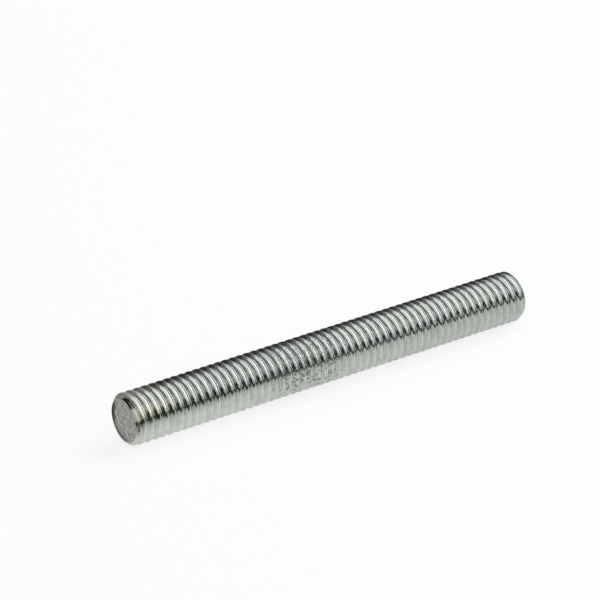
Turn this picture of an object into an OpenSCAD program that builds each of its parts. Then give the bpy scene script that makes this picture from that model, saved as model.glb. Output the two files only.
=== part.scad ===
// A length of threaded rod with both ends cut square and chamfered.
// It stands on one end face: +Z runs along its axis, and the origin is the centre of the lower face.
// The thread is fine, so the rod is drawn as its blank, a bar as thick as the thread's crests.

/* [Thread] */
// Nominal diameter of the thread
thread_size = 8; // [3:0.5:24]
// How much smaller than the nominal diameter the crests measure
crest_allowance = 0.1; // [0:0.02:0.4]

/* [Length] */
// Length of the rod from end face to end face
rod_length = 70; // [20:1:1000]

/* [Chamfers] */
// How far a chamfer cuts in from the crests
chamfer_depth = 0.65; // [0.1:0.05:1]
// How far a chamfer runs along the rod
chamfer_length = 0.65; // [0.1:0.05:3]

/* [Hidden] */
crest_diameter = thread_size - crest_allowance;
end_diameter = crest_diameter - 2 * chamfer_depth;
round_steps = 96;

// One end's chamfer, from the end face at z = 0 up to the crests
module chamfer() {
    cylinder(h = chamfer_length, d1 = end_diameter, d2 = crest_diameter, $fn = round_steps);
}

// The rod in one piece: the bar between the chamfers, and a chamfer at each end
module threaded_rod() {
    color([0.74, 0.76, 0.73])
    union() {
        chamfer();
        translate([0, 0, chamfer_length])
            cylinder(h = rod_length - 2 * chamfer_length, d = crest_diameter, $fn = round_steps);
        translate([0, 0, rod_length])
            mirror([0, 0, 1])
                chamfer();
    }
}

threaded_rod();
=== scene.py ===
"""A short length of zinc-plated threaded rod, and a small studio round it.

The rod stands on one end in its frame. The table touches its side, as if the rod lay on it, and the camera is
rolled to match.
"""

import math

import bpy
import numpy as np
from mathutils import Matrix, Vector


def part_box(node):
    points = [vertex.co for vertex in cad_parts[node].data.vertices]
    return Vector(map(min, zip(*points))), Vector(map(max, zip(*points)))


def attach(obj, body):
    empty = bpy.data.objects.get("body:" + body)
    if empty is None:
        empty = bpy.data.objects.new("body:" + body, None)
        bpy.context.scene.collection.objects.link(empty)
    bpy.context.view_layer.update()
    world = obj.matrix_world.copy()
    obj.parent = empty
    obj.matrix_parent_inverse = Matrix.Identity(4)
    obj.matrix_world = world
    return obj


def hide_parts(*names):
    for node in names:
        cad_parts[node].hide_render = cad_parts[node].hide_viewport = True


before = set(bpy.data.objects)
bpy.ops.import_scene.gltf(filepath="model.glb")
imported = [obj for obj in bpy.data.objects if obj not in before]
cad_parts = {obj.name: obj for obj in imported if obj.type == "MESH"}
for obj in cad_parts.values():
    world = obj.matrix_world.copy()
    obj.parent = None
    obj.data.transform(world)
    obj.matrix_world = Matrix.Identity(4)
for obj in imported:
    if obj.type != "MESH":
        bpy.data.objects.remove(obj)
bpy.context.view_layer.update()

mm = 0.001


# -----------------------------------------------------------------------------------------------------------
# The threaded rod
# One steel bar. Dies roll the thread into it along its whole length, which leaves round crests and roots. It
# is then sawn to length, chamfered at both ends and zinc plated, bright on the thread and dull on the sawn
# ends.
# -----------------------------------------------------------------------------------------------------------

rod_low, rod_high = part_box("threaded_rod")
rod_length = rod_high[2] - rod_low[2]
crest_radius = max(rod_high[0], rod_high[1])
thread_pitch = 1.25 * mm
thread_start = 0.30
crest_round = 0.42 * mm
root_round = 0.20 * mm
flank_angle = math.radians(50)
chamfer_depth = 0.65 * mm
chamfer_length = 0.65 * mm
edge_softness = 0.05 * mm
rim_round = 0.10 * mm

# Where the thread starts at the upper end, the dies folded the metal over along part of a turn and left a
# deep lap.
lap_turn = 0.87
lap_reach = 0.085
lap_depth = 0.30 * mm
lap_half_width = 0.14 * mm
lap_end = 1.6 * mm

flank_fall = math.tan(flank_angle)
arc_share = math.sin(flank_angle)
round_drop = 1 - math.cos(flank_angle)
round_loss = (crest_round + root_round) * (1 / math.cos(flank_angle) - 1)
thread_depth = thread_pitch / 2 * flank_fall - round_loss
root_radius = crest_radius - thread_depth
end_radius = crest_radius - chamfer_depth


def thread_radius(turn, z):
    """Radius of the rolled thread at a turn (0 to 1 once round) and a height.

    The height less the helix's climb gives the distance from the nearest crest's middle. Close to it the
    radius follows the crest's round, half a pitch away it follows the root's, and between them it falls along
    the flank. The lap is a V along the root. It fades out towards lap_reach either way round, and stops at
    lap_end from the upper end.
    """
    phase = z / thread_pitch - turn - thread_start
    from_crest = thread_pitch * np.abs(phase - np.round(phase))
    from_root = thread_pitch / 2 - from_crest
    crest = crest_radius - crest_round + np.sqrt(np.maximum(crest_round**2 - from_crest**2, 0))
    root = root_radius + root_round - np.sqrt(np.maximum(root_round**2 - from_root**2, 0))
    flank = crest_radius - crest_round * round_drop - (from_crest - crest_round * arc_share) * flank_fall
    below_crest = np.where(from_root < root_round * arc_share, root, flank)
    radius = np.where(from_crest < crest_round * arc_share, crest, below_crest)
    from_lap = np.abs((turn - lap_turn + 0.5) % 1 - 0.5)
    lap_share = np.clip(2 - 2 * from_lap / lap_reach, 0, 1) * (rod_high[2] - z < lap_end)
    return radius - lap_depth * lap_share * np.clip(1 - from_root / lap_half_width, 0, 1)


def rod_radius(turn, z):
    """Radius of the finished rod: the thread, cut down by the chamfer's cone near either end.

    The cone widens from the end face by chamfer_depth over chamfer_length. The smaller of the two radii is
    kept, and within edge_softness of each other they run together in a parabola.
    """
    from_end = np.minimum(z - rod_low[2], rod_high[2] - z)
    cone = end_radius + from_end * chamfer_depth / chamfer_length
    thread = thread_radius(turn, z)
    share = np.clip(0.5 + 0.5 * (cone - thread) / edge_softness, 0, 1)
    return cone + (thread - cone) * share - edge_softness * share * (1 - share)


# One turn's rows, as distances along the axis from a crest: round the crest, down the flank, round the root.
crest_steps = 6
root_steps = 5
flank_steps = 4
crest_rows = crest_round * np.sin(flank_angle * np.linspace(-1, 1, crest_steps))
root_rows = thread_pitch / 2 + root_round * np.sin(flank_angle * np.linspace(-1, 1, root_steps))
flank_rows = np.linspace(crest_rows[-1], root_rows[0], flank_steps)[1:-1]
turn_rows = np.concatenate([crest_rows, flank_rows, root_rows, thread_pitch - flank_rows[::-1]])
rows_per_turn = len(turn_rows)
columns = 100

# The side is a grid sheared along the helix, so that each row follows one crest, flank or root round the rod.
# Where a row would run past an end it is held at the rim, and its points there are one point.
turns = np.arange(-2, math.ceil(rod_length / thread_pitch) + 1)
row_climb = (turn_rows[None, :] / thread_pitch + turns[:, None]).ravel() + thread_start
column_turn = np.arange(columns) / columns
rim_bend = math.atan2(chamfer_length, chamfer_depth)
rim_height = rim_round * (1 - math.cos(rim_bend))
low_rim_z = rod_low[2] + rim_height
high_rim_z = rod_high[2] - rim_height
climb = thread_pitch * (row_climb[:, None] + column_turn[None, :])
side_z = np.clip(climb, low_rim_z, high_rim_z)
side_r = rod_radius(column_turn[None, :], side_z)
first_row = (climb <= low_rim_z).sum(0) - 1
last_row = (climb < high_rim_z).sum(0)


def around(radius, height):
    """Points of a grid whose columns go once round the axis, from its radii and heights."""
    angle = 2 * np.pi * column_turn
    height = np.broadcast_to(height, radius.shape)
    return np.stack([radius * np.cos(angle), radius * np.sin(angle), height], -1)


def grid_faces(index):
    """Quads between neighbouring rows and columns of a grid of point numbers, from row to next column."""
    here, right = index[:-1, :-1], index[:-1, 1:]
    above, diagonal = index[1:, :-1], index[1:, 1:]
    return np.stack([here, right, diagonal, above], -1).reshape(-1, 4)


rows = len(row_climb)
numbers = np.arange(rows * columns).reshape(rows, columns)
column = np.arange(columns)
held_row = np.clip(np.arange(rows)[:, None], first_row[None, :], last_row[None, :])
side_index = numbers[held_row, column[None, :]]
# Once round, a row meets the row one turn further up.
seam_row = np.clip(np.arange(rows) + rows_per_turn, first_row[0], last_row[0])
side_index = np.concatenate([side_index, numbers[seam_row, 0][:, None]], 1)
side_faces = grid_faces(side_index)

# The flat face's rings, as shares of its radius, closest together near the rim, where the face turns dark.
face_rings = np.array([0.97, 0.93, 0.88, 0.8, 0.68, 0.52, 0.34, 0.16])


def end_face(rim_numbers, rim_radius, rim_z, outward, first_number):
    """The rounded rim and flat face of one end: its points, its quads and the triangles round its centre.

    The rim is an arc of rim_round that bends from the chamfer's slope to the flat. Rings go from the rim
    inwards, and each keeps the rim's outline, shrunk to the ring's share of its radius.
    """
    lean = rim_bend * np.array([2, 1, 0]) / 3
    full = end_radius + rim_height
    arc_radius = full - rim_round * (math.sin(rim_bend) - np.sin(lean))
    arc_drop = rim_round * (1 - np.cos(lean))
    share = np.concatenate([arc_radius / full, arc_radius[-1] / full * face_rings])
    drop = np.concatenate([arc_drop, np.zeros(len(face_rings))])
    face_z = rim_z + outward * rim_height
    points = around(share[:, None] * rim_radius[None, :], (face_z - outward * drop)[:, None])
    ring_numbers = first_number + np.arange(share.size * columns).reshape(share.size, columns)
    index = np.concatenate([rim_numbers[None, :], ring_numbers])
    index = np.concatenate([index, index[:, :1]], 1)
    quads = grid_faces(index)
    centre = first_number + share.size * columns
    spokes = np.stack([index[-1, :-1], index[-1, 1:], np.full(columns, centre)], -1)
    if outward < 0:
        quads, spokes = quads[:, ::-1], spokes[:, ::-1]
    points = np.concatenate([points.reshape(-1, 3), [[0.0, 0.0, face_z]]])
    return points, quads, spokes


side_points = around(side_r, side_z).reshape(-1, 3)
low_points, low_quads, low_spokes = end_face(
    numbers[first_row, column], side_r[first_row, column], low_rim_z, -1, rows * columns
)
high_points, high_quads, high_spokes = end_face(
    numbers[last_row, column], side_r[last_row, column], high_rim_z, 1, rows * columns + len(low_points)
)
all_points = np.concatenate([side_points, low_points, high_points])

# The map that finishes are baked on: the side unrolled in two strips side by side, each half the rod's
# length, and the two end faces seen flat in a row above them, all at one scale in a square.
girth = 2 * math.pi * crest_radius
strip_length = rod_length / 2
map_gap = 1 * mm
map_side = 2 * girth + 3 * map_gap
corner_turn = (np.tile(column, rows - 1)[:, None] + np.array([0, 1, 1, 0])) / columns
corner_z = all_points[side_faces, 2] - rod_low[2]
strip = corner_z.mean(1, keepdims=True) > strip_length
map_across = map_gap + strip * (girth + map_gap) + corner_turn * girth
map_up = map_gap + corner_z - strip * strip_length
low_middle = np.array([map_gap + crest_radius, strip_length + 3 * map_gap + crest_radius])
high_middle = low_middle + np.array([2 * crest_radius + map_gap, 0])
low_quad_map = all_points[low_quads, :2] + low_middle
high_quad_map = all_points[high_quads, :2] + high_middle
quad_map = np.concatenate([np.stack([map_across, map_up], -1), low_quad_map, high_quad_map])
low_spoke_map = all_points[low_spokes, :2] + low_middle
high_spoke_map = all_points[high_spokes, :2] + high_middle
spoke_map = np.concatenate([low_spoke_map, high_spoke_map]).reshape(-1, 2)

# Held rows leave quads with two corners alike, which become triangles, and quads with no width, which go.
quads = np.concatenate([side_faces, low_quads, high_quads])
spokes = np.concatenate([low_spokes, high_spokes])
dull = np.arange(len(quads)) >= len(side_faces)
same_as_next = quads == np.roll(quads, -1, axis=1)
kept = same_as_next.sum(1) < 2
corner_kept = ~same_as_next[kept]
corners = np.concatenate([quads[kept][corner_kept], spokes.ravel()])
corner_counts = np.concatenate([corner_kept.sum(1), np.full(len(spokes), 3)])
face_finish = np.concatenate([dull[kept], np.ones(len(spokes), bool)])
corner_map = np.concatenate([quad_map[kept][corner_kept], spoke_map]) / map_side
used, corners = np.unique(corners, return_inverse=True)
points = all_points[used]

rod_mesh = bpy.data.meshes.new("rolled_rod")
rod_mesh.vertices.add(len(points))
rod_mesh.vertices.foreach_set("co", points.astype(np.float32).ravel())
rod_mesh.loops.add(len(corners))
rod_mesh.loops.foreach_set("vertex_index", corners.astype(np.int32))
rod_mesh.polygons.add(len(corner_counts))
rod_mesh.polygons.foreach_set("loop_start", (np.cumsum(corner_counts) - corner_counts).astype(np.int32))
rod_mesh.polygons.foreach_set("material_index", face_finish.astype(np.int32))
rod_mesh.update(calc_edges=True)
rod_mesh.polygons.foreach_set("use_smooth", np.ones(len(corner_counts), bool))
rod_mesh.uv_layers.new(name="OFBake").uv.foreach_set("vector", corner_map.astype(np.float32).ravel())
rod_mesh.validate()
rod = bpy.data.objects.new("rolled_rod", rod_mesh)
bpy.context.scene.collection.objects.link(rod)


class Field:
    """A value that varies over a surface: a node's output, on which arithmetic adds Math nodes."""

    def __init__(self, finish, socket):
        self.finish = finish
        self.socket = socket

    def beside(self, output):
        """Another output of the same node, by its name."""
        return Field(self.finish, self.socket.node.outputs[output])

    def math(self, operation, *others):
        return self.finish.node("ShaderNodeMath", {"operation": operation}, dict(enumerate([self, *others])))

    def __add__(self, other):
        return self.math("ADD", other)

    def __sub__(self, other):
        return self.math("SUBTRACT", other)

    def __mul__(self, other):
        return self.math("MULTIPLY", other)

    def __truediv__(self, other):
        return self.math("DIVIDE", other)

    def __pow__(self, other):
        return self.math("POWER", other)

    def __rsub__(self, other):
        return self.finish.node("ShaderNodeMath", {"operation": "SUBTRACT"}, {0: other, 1: self})

    __radd__ = __add__
    __rmul__ = __mul__


class Finish:
    """The nodes of a material or of the room.

    node() makes one: its settings are set first, then its inputs get values or links.
    """

    def __init__(self, owner):
        self.owner = owner
        owner.use_nodes = True
        self.tree = owner.node_tree
        self.tree.nodes.clear()

    def node(self, kind, settings, inputs, output=0):
        made = self.tree.nodes.new(kind)
        for name, value in settings.items():
            setattr(made, name, value)
        for name, value in inputs.items():
            if isinstance(value, Field):
                self.tree.links.new(value.socket, made.inputs[name])
            else:
                made.inputs[name].default_value = value
        return Field(self, made.outputs[output]) if made.outputs else None

    def mix(self, share, first, second):
        """The first colour where share is 0, the second where it is 1: a Mix node's inputs 6 and 7."""
        inputs = {"Factor": share, 6: first, 7: second}
        return self.node("ShaderNodeMix", {"data_type": "RGBA"}, inputs, output=2)

    def noise(self, place, scale, detail=3.0, roughness=0.5):
        inputs = {"Vector": place, "Scale": scale, "Detail": detail, "Roughness": roughness}
        return self.node("ShaderNodeTexNoise", {}, inputs)

    def band(self, value, none, whole):
        """0 where value is at none and 1 where it is at whole, smooth between them and level beyond them."""
        inputs = {"Value": value, "From Min": none, "From Max": whole}
        return self.node("ShaderNodeMapRange", {"interpolation_type": "SMOOTHSTEP"}, inputs)

    def show(self, shader):
        """Puts a shader on the surface."""
        self.node("ShaderNodeOutputMaterial", {}, {"Surface": shader})

    def plate(self, colour, metallic, roughness, height, relief):
        """Puts plated metal on the surface, its relief as deep as height times the relief's distance."""
        bump = self.node("ShaderNodeBump", {}, {"Height": height, **relief})
        surface = {"Base Color": colour, "Metallic": metallic, "Roughness": roughness, "Normal": bump}
        self.show(self.node("ShaderNodeBsdfPrincipled", {}, surface))


class RodPlace:
    """Where a point of the rod is, for its finishes: its height, its side and its distance from the axis."""

    def __init__(self, finish):
        self.finish = finish
        self.point = finish.node("ShaderNodeTexCoord", {}, {}, output="Object")
        self.x = finish.node("ShaderNodeSeparateXYZ", {}, {"Vector": self.point}, output="X")
        self.y = self.x.beside("Y")
        self.along = self.x.beside("Z")
        self.from_axis = (self.x * self.x + self.y * self.y) ** 0.5
        self.from_upper_end = rod_high[2] - self.along

    def cosine(self, degrees):
        """The cosine of the angle round the axis from one side of the rod, which is in degrees from +X."""
        angle = math.radians(degrees)
        return (self.x * math.cos(angle) + self.y * math.sin(angle)) / self.from_axis

    def by_side(self, degrees, none, whole):
        """1 along one side of the rod and 0 away from it, from the cosines where it is none and whole."""
        return self.finish.band(self.cosine(degrees), none, whole)

    def by_end(self, none, whole):
        """1 near the upper end and 0 away from it, from the distances to it where it is none and whole."""
        return self.finish.band(self.from_upper_end, none, whole)


zinc_crest = (0.475, 0.51, 0.47, 1.0)
zinc_root_shade = (0.45, 0.48, 0.45, 1.0)
zinc_violet = (0.42, 0.44, 0.435, 1.0)
zinc_cream_highlight = (0.60, 0.61, 0.49, 1.0)
zinc_chamfer_highlight = (0.87, 0.87, 0.77, 1.0)
zinc_table_reflection = (0.66, 0.69, 0.65, 1.0)
zinc_pit = (0.16, 0.17, 0.16, 1.0)
streak_shade_green = (0.06, 0.07, 0.04, 1.0)
lap_shade_black = (0.02, 0.02, 0.015, 1.0)

# Bright zinc with clouds of a faint violet, greyer in the roots as painted shade.
thread_finish = Finish(bpy.data.materials.new("bright_zinc_thread"))
on_rod = RodPlace(thread_finish)
depth = (crest_radius - on_rod.from_axis) / thread_depth
in_root = thread_finish.band(depth, 0.15, 0.8)
cloud = thread_finish.noise(on_rod.point, 600.0, detail=4.0, roughness=0.6)
tint = thread_finish.band(cloud, 0.45, 0.65)
crest_colour = thread_finish.mix(tint, zinc_crest, zinc_violet)
thread_colour = thread_finish.mix(in_root, crest_colour, zinc_root_shade)

# The plating is duller near the upper end, where the bath's bubbles clung to the saw cut. A creamier, lighter
# tone there is a painted highlight, strongest along one side.
cream_highlight_end = on_rod.by_end(14 * mm, 0.5 * mm)
dull_end = on_rod.by_end(3 * mm, 0.5 * mm)
cream_highlight_side = on_rod.by_side(-95, 0.88, 0.98)
thread_colour = thread_finish.mix(cream_highlight_end * (0.3 + 0.6 * cream_highlight_side), thread_colour, zinc_cream_highlight)

# It is also duller along the side that hung lowest in the bath, its lower side by the table, and a pale
# painted reflection of the table lies there, most of all towards the upper end.
dull_side_and_sheen = on_rod.by_side(-155, 0.6, 0.85)
table_reflection = dull_side_and_sheen * (0.45 + 0.55 * on_rod.by_end(60 * mm, 5 * mm))
thread_colour = thread_finish.mix(table_reflection * (1 - tint * 0.45), thread_colour, zinc_table_reflection)

# Pits in the plating, in a patch on one side a little above the middle.
pit_middle = 40.5 * mm
pit_reach = 7 * mm
from_patch = (on_rod.along - pit_middle).math("ABSOLUTE")
in_patch = thread_finish.band(from_patch, pit_reach, 0.6 * pit_reach) * on_rod.by_side(-90, 0.2, 0.5)
specks = thread_finish.noise(on_rod.point, 2600.0, detail=1.0)
pits = in_patch * thread_finish.band(specks, 0.54, 0.61)
thread_colour = thread_finish.mix(pits * 0.65, thread_colour, zinc_pit)

# A painted highlight, pale cream, on the chamfer.
chamfer_highlight = on_rod.by_side(-85, 0.945, 0.985) * on_rod.by_end(1.1 * mm, 0.6 * mm)
thread_colour = thread_finish.mix(chamfer_highlight, thread_colour, zinc_chamfer_highlight)

# Painted shade, near black, in the lap and in the groove's mouth on the chamfer.
by_lap = on_rod.by_side(360 * lap_turn, 0.9, 0.97)
in_lap = thread_finish.band(depth, 0.95, 1.25) * on_rod.by_end(lap_end + 0.1 * mm, lap_end - 0.1 * mm)
mouth = on_rod.by_end(0.30 * mm, 0.20 * mm)
thread_colour = thread_finish.mix(by_lap * in_lap.math("MAXIMUM", mouth), thread_colour, lap_shade_black)

# A dark green streak of painted shade runs from the first groove across the chamfer, nearer to the end face
# the further round.
streak_line = 0.35 * mm + 8 * mm * (1 - on_rod.cosine(-125))
from_streak = (on_rod.from_upper_end - streak_line).math("ABSOLUTE")
streak = thread_finish.band(from_streak, 0.22 * mm, 0.06 * mm) * on_rod.by_side(-112, 0.955, 0.985)
thread_colour = thread_finish.mix(streak * 0.8, thread_colour, streak_shade_green)

# The polish is best on the crests. It is lost in the pits, and where threads near the upper end were rubbed.
mottle = thread_finish.noise(on_rod.point, 1500.0)
rubbed = on_rod.by_side(-5, 0.80, 0.95) * on_rod.by_end(7 * mm, 1 * mm)
thread_roughness = 0.14 + in_root * 0.04 + mottle * 0.10 + dull_end * 0.08 + dull_side_and_sheen * 0.3
thread_roughness = thread_roughness + pits * 0.2 + rubbed * 0.4 + chamfer_highlight * 0.55
grain = thread_finish.noise(on_rod.point, 6000.0, detail=2.0)
waves = thread_finish.noise(on_rod.point, 900.0)
thread_height = grain - pits * 2.0 + waves * 14.0
thread_relief = {"Strength": 0.25, "Distance": 0.01 * mm}
thread_finish.plate(thread_colour, 1.0, thread_roughness, thread_height, thread_relief)

# The sawn ends are dull and mottled under their zinc.
sawn_grey = (0.54, 0.53, 0.50, 1.0)
sawn_dark = (0.26, 0.26, 0.25, 1.0)
dark_rim_black = (0.02, 0.02, 0.018, 1.0)
sawn_finish = Finish(bpy.data.materials.new("dull_zinc_end"))
on_end = RodPlace(sawn_finish)
sawn_cloud = sawn_finish.noise(on_end.point, 1600.0, detail=4.0, roughness=0.7)
sawn_grain = sawn_finish.noise(on_end.point, 5000.0, detail=3.0)
sawn_colour = sawn_finish.mix(sawn_finish.band(sawn_cloud, 0.36, 0.66), sawn_grey, sawn_dark)

# The face turns near black towards its rim, over one half and most in a narrower stretch.
by_rim = sawn_finish.band(on_end.from_axis, end_radius - 1.4 * mm, end_radius - 0.4 * mm)
rim_side_90 = on_end.by_side(90, 0.0, 0.7)
rim_side_52 = on_end.by_side(52, 0.75, 0.97)
dark_rim = by_rim * (rim_side_90 * 0.6 + rim_side_52 * 0.4)
sawn_colour = sawn_finish.mix(dark_rim, sawn_colour, dark_rim_black)
sawn_relief = {"Strength": 0.4, "Distance": 0.03 * mm}
sawn_finish.plate(sawn_colour, 0.8, 0.5 + sawn_cloud * 0.1, sawn_grain, sawn_relief)

rod_mesh.materials.append(thread_finish.owner)
rod_mesh.materials.append(sawn_finish.owner)
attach(rod, "root")
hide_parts("threaded_rod")


# -----------------------------------------------------------------------------------------------------------
# The table
# A matt white sheet that touches the rod along one side. Seen from behind it isn't there, so that it hides
# the rod in no view.
# -----------------------------------------------------------------------------------------------------------

table_lean = math.radians(67)
table_half = 2000
rod_middle = Vector((0, 0, (rod_low[2] + rod_high[2]) / 2))
to_camera_side = Vector((0, -1, 0))
to_upper_side = Vector((1, 0, 0))
table_up = to_camera_side * math.cos(table_lean) + to_upper_side * math.sin(table_lean)
table_front = to_camera_side * math.sin(table_lean) - to_upper_side * math.cos(table_lean)
table_side = Vector((0, 0, 1))
table_origin = rod_middle - table_up * crest_radius


def studio_sheet(name, middle, half_side, half_height, height_axis, finish):
    """A flat rectangle about its middle, half_side millimetres each way along the rod and half_height across.

    It faces the way that the rod's axis crossed with its height axis points.
    """
    corners = [(-1, -1), (1, -1), (1, 1), (-1, 1)]
    points = [middle + (table_side * half_side * u + height_axis * half_height * v) * mm for u, v in corners]
    mesh = bpy.data.meshes.new(name)
    mesh.from_pydata(points, [], [(0, 1, 2, 3)])
    mesh.materials.append(finish.owner)
    sheet = bpy.data.objects.new(name, mesh)
    bpy.context.scene.collection.objects.link(sheet)
    return sheet


def seen(finish):
    """1 on rays that show a surface, straight or in metal or glass, and 0 on those that carry its light."""
    camera_ray = finish.node("ShaderNodeLightPath", {}, {}, output="Is Camera Ray")
    rays = camera_ray + camera_ray.beside("Is Glossy Ray") + camera_ray.beside("Is Transmission Ray")
    return rays.math("MINIMUM", 1.0)


table_white = (0.9, 0.9, 0.9, 1.0)
paper_white = (1.0, 1.0, 1.0, 1.0)
table_glow = 0.8
table_finish = Finish(bpy.data.materials.new("table_white"))
matt = table_finish.node("ShaderNodeBsdfDiffuse", {}, {"Color": table_white})
glow = table_finish.node("ShaderNodeEmission", {}, {"Color": paper_white, "Strength": 1.0})
glow_share = seen(table_finish) * table_glow
lit_side = table_finish.node("ShaderNodeMixShader", {}, {0: glow_share, 1: matt, 2: glow})
behind = table_finish.node("ShaderNodeNewGeometry", {}, {}, output="Backfacing")
unseen = table_finish.node("ShaderNodeBsdfTransparent", {}, {})
table_finish.show(table_finish.node("ShaderNodeMixShader", {}, {0: behind, 1: lit_side, 2: unseen}))
studio_sheet("table", table_origin, table_half, table_half, table_front, table_finish)


# -----------------------------------------------------------------------------------------------------------
# The lamps
# Eight soft boxes hang round the rod, four facing down and four facing back from in front, under a grey
# ceiling. Dark sheets on the table and round it, out of the camera's sight, give the metal its dark lines.
# -----------------------------------------------------------------------------------------------------------


def over_table(front, side, up):
    """A place in the studio, in millimetres in front of the rod, towards its upper end and off the table."""
    return table_origin + (table_front * front + table_side * side + table_up * up) * mm


def soft_box(name, middle, facing, half_side, half_across, brightness):
    """A rectangular lamp about its middle: half_side millimetres each way along the rod, half_across across.

    A brightness of 1 is that of white paper. The power for it is pi times the lamp's area.
    """
    lamp = bpy.data.lights.new(name, "AREA")
    lamp.shape = "RECTANGLE"
    lamp.size = 2 * half_side * mm
    lamp.size_y = 2 * half_across * mm
    lamp.energy = brightness * math.pi * lamp.size * lamp.size_y
    holder = bpy.data.objects.new(name, lamp)
    back = facing * -1
    turn = Matrix((table_side, back.cross(table_side), back)).transposed()
    holder.matrix_world = Matrix.Translation(middle) @ turn.to_4x4()
    holder.visible_camera = False
    bpy.context.scene.collection.objects.link(holder)


# No two boxes overlap in one plane, because metal would show only one of them there.
down = table_up * -1
inward = table_front * -1
soft_box("wide_top_box", over_table(-150, -1630, 900), down, 1070, 950, 2.5)
soft_box("front_top_box", over_table(1040, -1800, 900), down, 900, 240, 2.5)
soft_box("near_top_box", over_table(500, 210, 900), down, 310, 900, 1.4)
soft_box("end_top_box", over_table(850, 1900, 890), down, 300, 550, 1.2)
soft_box("wide_front_box", over_table(1420, -1975, 810), inward, 1125, 190, 2.5)
soft_box("low_wide_front_box", over_table(1425, -1975, 520), inward, 1125, 100, 0.8)
soft_box("near_front_box", over_table(1430, 230, 780), inward, 330, 160, 1.4)
soft_box("low_near_front_box", over_table(1435, 230, 520), inward, 330, 100, 0.6)

ceiling_grey = (0.26, 0.26, 0.27, 1.0)
ceiling_half = 4000
ceiling_finish = Finish(bpy.data.materials.new("grey_ceiling"))
ceiling_finish.show(ceiling_finish.node("ShaderNodeEmission", {}, {"Color": ceiling_grey, "Strength": 1.0}))
ceiling_middle = over_table(0, 0, 1000)
ceiling = studio_sheet("ceiling", ceiling_middle, ceiling_half, ceiling_half, table_front, ceiling_finish)
ceiling.visible_camera = False


def flag(name, middle, half_side, half_height, height_axis, colour):
    """A dark sheet, sized in millimetres, which shows in the rod's plating and nowhere else."""
    finish = Finish(bpy.data.materials.new(name))
    finish.show(finish.node("ShaderNodeBsdfDiffuse", {}, {"Color": colour}))
    sheet = studio_sheet(name, middle, half_side, half_height, height_axis, finish)
    sheet.visible_camera = False
    sheet.visible_shadow = False
    sheet.visible_diffuse = False


black = (0.003, 0.003, 0.003, 1.0)
green_black = (0.008, 0.035, 0.012, 1.0)
charcoal = (0.06, 0.06, 0.06, 1.0)
flag("end_flag", over_table(9.5, 188, 0.5), 150, 8.5, table_front, black)
flag("groove_flag", over_table(19, 100, 0.6), 80, 7, table_front, green_black)
flag("table_flag", over_table(463, 0, 0.5), 1500, 437, table_front, green_black)
flag("low_front_flag", over_table(900, -1000, 50), 1330, 50, table_up, green_black)
flag("tall_front_flag", over_table(900, 2630, 260), 2300, 260, table_up, black)
flag("back_flag", over_table(-260, 0, 115), 700, 115, table_up, charcoal)

# The room is white to the eye and in the metal, and gives half of that as light.
room_light = 0.5
room = Finish(bpy.data.worlds.new("white_room"))
bpy.context.scene.world = room.owner
room_strength = room_light + seen(room) * (1 - room_light)
sky = room.node("ShaderNodeBackground", {}, {"Color": paper_white, "Strength": room_strength})
room.node("ShaderNodeOutputWorld", {}, {"Surface": sky})


# -----------------------------------------------------------------------------------------------------------
# The camera
# A long lens, looking down past the upper end, rolled until the table's up is the picture's up.
# -----------------------------------------------------------------------------------------------------------

camera_data = bpy.data.cameras.new("studio_camera")
camera_data.sensor_width = 36
camera_data.lens = 183.6
camera_data.clip_start = 10 * mm
camera_data.clip_end = 10000 * mm
camera = bpy.data.objects.new("studio_camera", camera_data)
bpy.context.scene.collection.objects.link(camera)
camera_aim = Vector((8.95, 0.59, 36.0)) * mm
camera_distance = 452.7 * mm
camera_height = math.radians(30.35)
camera_roll = math.radians(107.28)
camera_back = Vector((0, -math.cos(camera_height), math.sin(camera_height)))
level = camera_back.to_track_quat("Z", "Y").to_matrix().to_4x4()
rolled = Matrix.Rotation(-camera_roll, 4, "Z")
camera.matrix_world = Matrix.Translation(camera_aim + camera_back * camera_distance) @ level @ rolled
bpy.context.scene.camera = camera

bpy.context.scene.view_settings.view_transform = "Standard"
